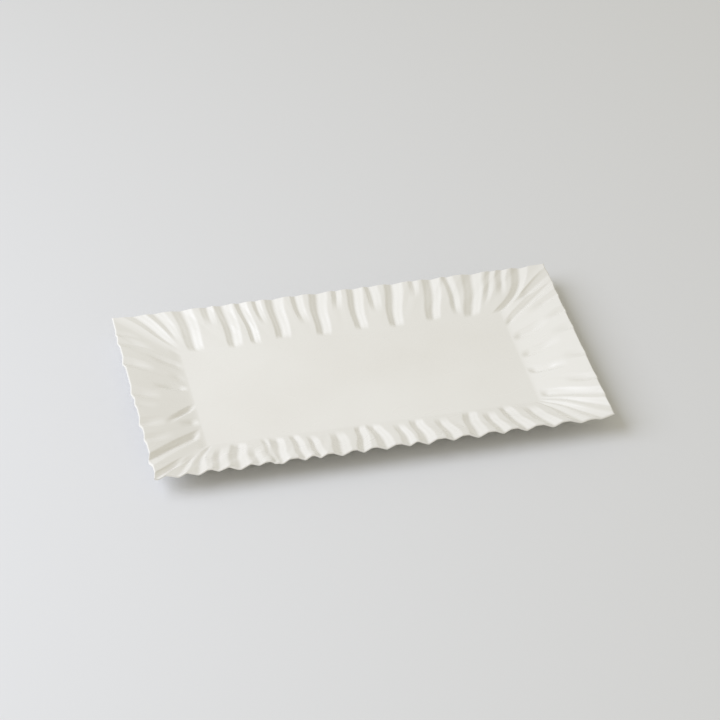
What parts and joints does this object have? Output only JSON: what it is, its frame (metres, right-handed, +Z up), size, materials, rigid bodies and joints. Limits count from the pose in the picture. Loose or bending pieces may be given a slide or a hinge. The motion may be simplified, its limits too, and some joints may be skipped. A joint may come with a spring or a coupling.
{
  "type": "serving platter",
  "caption": "Rectangular glazed porcelain serving platter with a flat well, a pleated sloping rim, a scalloped lip and a low foot ring.",
  "frame": {"origin": "middle of the platter on the surface that it stands on", "axes": "+X along the length to the right-hand end, +Y across the width to the back, +Z up out of the well"},
  "size_m": [0.384, 0.226, 0.022],
  "materials": {
    "white_glaze": "satin warm white glaze",
    "bare_porcelain": "unglazed, fine and matt"
  },
  "bodies": {
    "root": {"well_floor": "white_glaze", "rim_back": "white_glaze", "rim_front": "white_glaze", "rim_left": "white_glaze", "rim_right": "white_glaze", "foot_ring": "bare_porcelain"}
  },
  "joints": []
}
